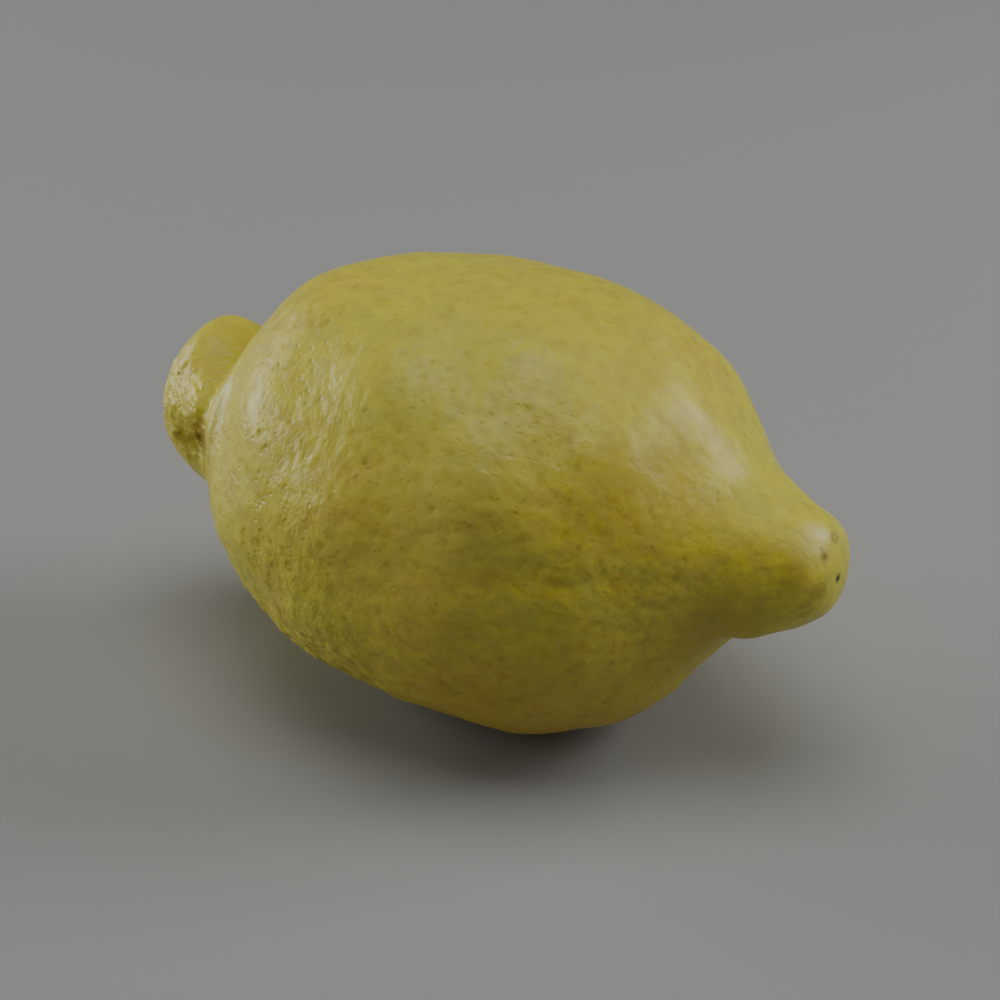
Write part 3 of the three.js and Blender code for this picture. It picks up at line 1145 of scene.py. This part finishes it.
    @staticmethod
    def pushed(
        wiring: Wiring, mesh: bpy.types.NodeSocket, height: bpy.types.NodeSocket
    ) -> bpy.types.NodeSocket:
        """Moves each corner along its normal.

        Args:
            wiring: The tree's wiring.
            mesh: The mesh to move.
            height: How far each corner moves.

        Returns:
            The moved mesh.
        """
        normal = wiring.add("GeometryNodeInputNormal").outputs[0]
        scale = wiring.vector("SCALE", normal)
        wiring.feed(scale.inputs["Scale"], height)
        return wiring.add("GeometryNodeSetPosition", Geometry=mesh, Offset=scale.outputs["Vector"]).outputs[0]


@dataclass
class StemButton:
    """The dried calyx and the cut stub of the stem.

    Attributes:
        form: The fruit's form, whose hollow holds the button.
        placing: Where that form lies in the frame.
        finish: Its dry skin.
        calyx_radius: Radius of the calyx in mm.
        lobes: How many lobes the calyx has.
        lobe_turn: Direction round the axis at which one lobe points, in degrees.
        stub_radius: Radius of the stub in mm.
        stub_length: How far the stub stands out of the calyx, in mm.
        stub_lean: How far its cut end stands above its foot, in mm.
        gap: Clear space to the peel in mm.
        sides: Corners round the button.
        steps: Rings in each span of its profile.
    """

    form: FruitForm
    placing: Placing
    finish: DriedStemFinish = field(default_factory=DriedStemFinish)
    calyx_radius: float = 5.0
    lobes: int = 5
    lobe_turn: float = 140.0
    stub_radius: float = 1.7
    stub_length: float = 3.0
    stub_lean: float = 1.1
    gap: float = 0.3
    sides: int = 160
    steps: int = 8

    @property
    def stub_foot(self) -> float:
        """How far the stub's foot is above the floor of the hollow."""
        return self.form.hollow_depth + 0.4

    def profile(self) -> np.ndarray:
        """Distance from the button's axis and height above the hollow's floor, all round it."""
        deep = self.form.hollow_depth
        stub_top = self.stub_foot + self.stub_length
        return np.array([
            (0.0, self.gap),
            (0.6 * self.calyx_radius, self.gap + 0.15),
            (0.98 * self.calyx_radius, deep - 0.35 + self.gap),
            (self.calyx_radius, deep + 0.5),
            (0.86 * self.calyx_radius, deep + 0.9),
            (0.55 * self.calyx_radius, self.stub_foot - 0.1),
            (1.15 * self.stub_radius, self.stub_foot),
            (self.stub_radius, stub_top - 0.5),
            (0.9 * self.stub_radius, stub_top),
            (0.5 * self.stub_radius, stub_top - 0.3),
            (0.0, stub_top - 0.4),
        ])

    def build(self) -> bpy.types.Object:
        """Builds and dresses the button.

        Returns:
            The finished piece.
        """
        corners = self.profile()
        spans = np.linspace(0, len(corners) - 1, (len(corners) - 1) * self.steps + 1)
        radius = np.interp(spans, np.arange(len(corners)), corners[:, 0])
        height = np.interp(spans, np.arange(len(corners)), corners[:, 1])
        turn = np.arange(self.sides) * (2.0 * math.pi / self.sides)
        ring_radius, ring_turn = np.meshgrid(radius[1:-1], turn, indexing="ij")
        ring_height = np.broadcast_to(height[1:-1, None], ring_radius.shape)
        points = self.lobed(ring_radius, ring_height, ring_turn).reshape(-1, 3)
        middle = self.lobed(radius[[0, -1]], height[[0, -1]], np.zeros(2))
        points = np.vstack([points, middle])
        piece = piece_from("lemon_stem_button", self.seated(points), self.ring_faces(len(radius) - 2))
        cut_x = self.seated(points)[:, 0].min()
        piece.data.materials.append(self.finish.material(float(cut_x)))
        return piece

    def lobed(self, radius: np.ndarray, height: np.ndarray, turn: np.ndarray) -> np.ndarray:
        """Spreads the calyx into blunt lobes and furrows it.

        Args:
            radius: Distances from the button's axis in mm.
            height: Heights above the hollow's floor in mm.
            turn: Directions round the axis in radians.

        Returns:
            The points about the button's seat in mm.
        """
        outer = eased(radius, 1.2 * self.stub_radius, self.calyx_radius)
        lobe = outer * np.cos(self.lobes * (turn - math.radians(self.lobe_turn)))
        spread = radius * (1.0 + 0.06 * lobe)
        out = height + 0.25 * np.maximum(0.0, lobe)
        up_stub = np.clip((height - self.stub_foot) / self.stub_length, 0.0, 1.0)
        lean = np.where(radius < 1.2 * self.stub_radius, self.stub_lean * up_stub, 0.0)
        return np.stack([-out, spread * np.cos(turn), spread * np.sin(turn) + lean], axis=-1)

    def ring_faces(self, rings: int) -> list[tuple[int, ...]]:
        """Faces between the rings, with a fan at each end.

        Args:
            rings: How many rings there are.

        Returns:
            The faces as rows of corner numbers.
        """
        faces = []
        for side in range(self.sides):
            after = (side + 1) % self.sides
            for ring in range(rings - 1):
                near, far = ring * self.sides, (ring + 1) * self.sides
                faces.append((near + side, near + after, far + after, far + side))
            last = (rings - 1) * self.sides
            faces.append((rings * self.sides, after, side))
            faces.append((rings * self.sides + 1, last + side, last + after))
        return faces

    def seated(self, points: np.ndarray) -> np.ndarray:
        """Moves points about the button's seat into the fruit's hollow, in the frame, in mm."""
        seat = np.array([self.form.hollow_floor_x, 0.0, self.form.neck_lift])
        return self.placing.in_frame(points + seat)


# The studio


@dataclass(frozen=True)
class SoftLight:
    """A soft light aimed at the fruit.

    Attributes:
        name: Its name.
        azimuth: Degrees round the fruit from the front, towards +X.
        elevation: Degrees above the floor.
        distance: Its distance from the fruit in metres.
        width: Its width in metres.
        height: Its height in metres.
        power: Its power in watts.
    """

    name: str
    azimuth: float
    elevation: float
    distance: float
    width: float
    height: float
    power: float


def towards(azimuth: float, elevation: float) -> Vector:
    """The direction from the fruit to a viewer or a light.

    Args:
        azimuth: Degrees round the fruit from the front, towards +X.
        elevation: Degrees above the floor.

    Returns:
        The direction, of length 1.
    """
    a, e = math.radians(azimuth), math.radians(elevation)
    return Vector((math.sin(a) * math.cos(e), -math.cos(a) * math.cos(e), math.sin(e)))


@dataclass
class Studio:
    """The camera, the plain floor and the soft lights."""

    azimuth: float = 29.0
    elevation: float = 30.0
    lens: float = 85.0
    distance: float = 315.0
    target: tuple[float, float, float] = (1.94, -0.08, 29.63)
    floor_side: float = 6.0
    floor_colour: Colour = srgb(160, 160, 158)
    ambient: float = 0.06
    lights: tuple[SoftLight, ...] = (
        SoftLight("left", azimuth=-82, elevation=11, distance=0.9, width=0.7, height=0.36, power=4.6),
        SoftLight("right", azimuth=127, elevation=30, distance=0.9, width=0.42, height=0.42, power=3.5),
        SoftLight("top", azimuth=20, elevation=84, distance=1.1, width=0.8, height=0.8, power=5.4),
    )

    def build(self) -> None:
        """Sets up the camera, the floor and the lights."""
        self.place_camera()
        self.lay_floor()
        self.light()

    def place_camera(self) -> None:
        """Places the camera at the photograph's viewing angle."""
        camera = bpy.data.cameras.new("camera")
        camera.lens = self.lens
        camera.clip_start = 0.02
        eye = bpy.data.objects.new("camera", camera)
        back = towards(self.azimuth, self.elevation)
        eye.location = (Vector(self.target) + back * self.distance) * MM
        eye.rotation_euler = back.to_track_quat("Z", "Y").to_euler()
        bpy.context.scene.collection.objects.link(eye)
        bpy.context.scene.camera = eye

    def lay_floor(self) -> None:
        """Lays a plain pale floor that fades into the distance."""
        half = self.floor_side / 2.0
        mesh = bpy.data.meshes.new("floor")
        corners = [(-half, -half, 0.0), (half, -half, 0.0), (half, half, 0.0), (-half, half, 0.0)]
        mesh.from_pydata(corners, [], [(0, 1, 2, 3)])
        floor = bpy.data.objects.new("floor", mesh)
        bpy.context.scene.collection.objects.link(floor)
        material = bpy.data.materials.new("floor")
        material.use_nodes = True
        shader = material.node_tree.nodes["Principled BSDF"]
        shader.inputs["Base Color"].default_value = (*self.floor_colour, 1.0)
        shader.inputs["Roughness"].default_value = 0.9
        shader.inputs["Specular IOR Level"].default_value = 0.2
        mesh.materials.append(material)

    def light(self) -> None:
        """Sets the ambient light and the soft lights."""
        world = bpy.data.worlds.new("studio")
        world.use_nodes = True
        ground = world.node_tree.nodes["Background"]
        ground.inputs["Color"].default_value = (1.0, 1.0, 1.0, 1.0)
        ground.inputs["Strength"].default_value = self.ambient
        bpy.context.scene.world = world
        for soft in self.lights:
            lamp = bpy.data.lights.new(soft.name, "AREA")
            lamp.shape = "RECTANGLE"
            lamp.size = soft.width
            lamp.size_y = soft.height
            lamp.energy = soft.power
            holder = bpy.data.objects.new(soft.name, lamp)
            back = towards(soft.azimuth, soft.elevation)
            holder.location = Vector(self.target) * MM + back * soft.distance
            holder.rotation_euler = back.to_track_quat("Z", "Y").to_euler()
            bpy.context.scene.collection.objects.link(holder)


def main() -> None:
    """Builds the lemon and its studio."""
    logging.basicConfig(level=logging.INFO, format="%(name)s: %(message)s")
    Studio().build()
    form = FruitForm()
    placing = Placing.from_frame(form)
    hand_over(Fruit(form, placing).build(), "fruit")
    hand_over(StemButton(form, placing).build(), "stem_button")


if __name__ == "__main__":
    main()
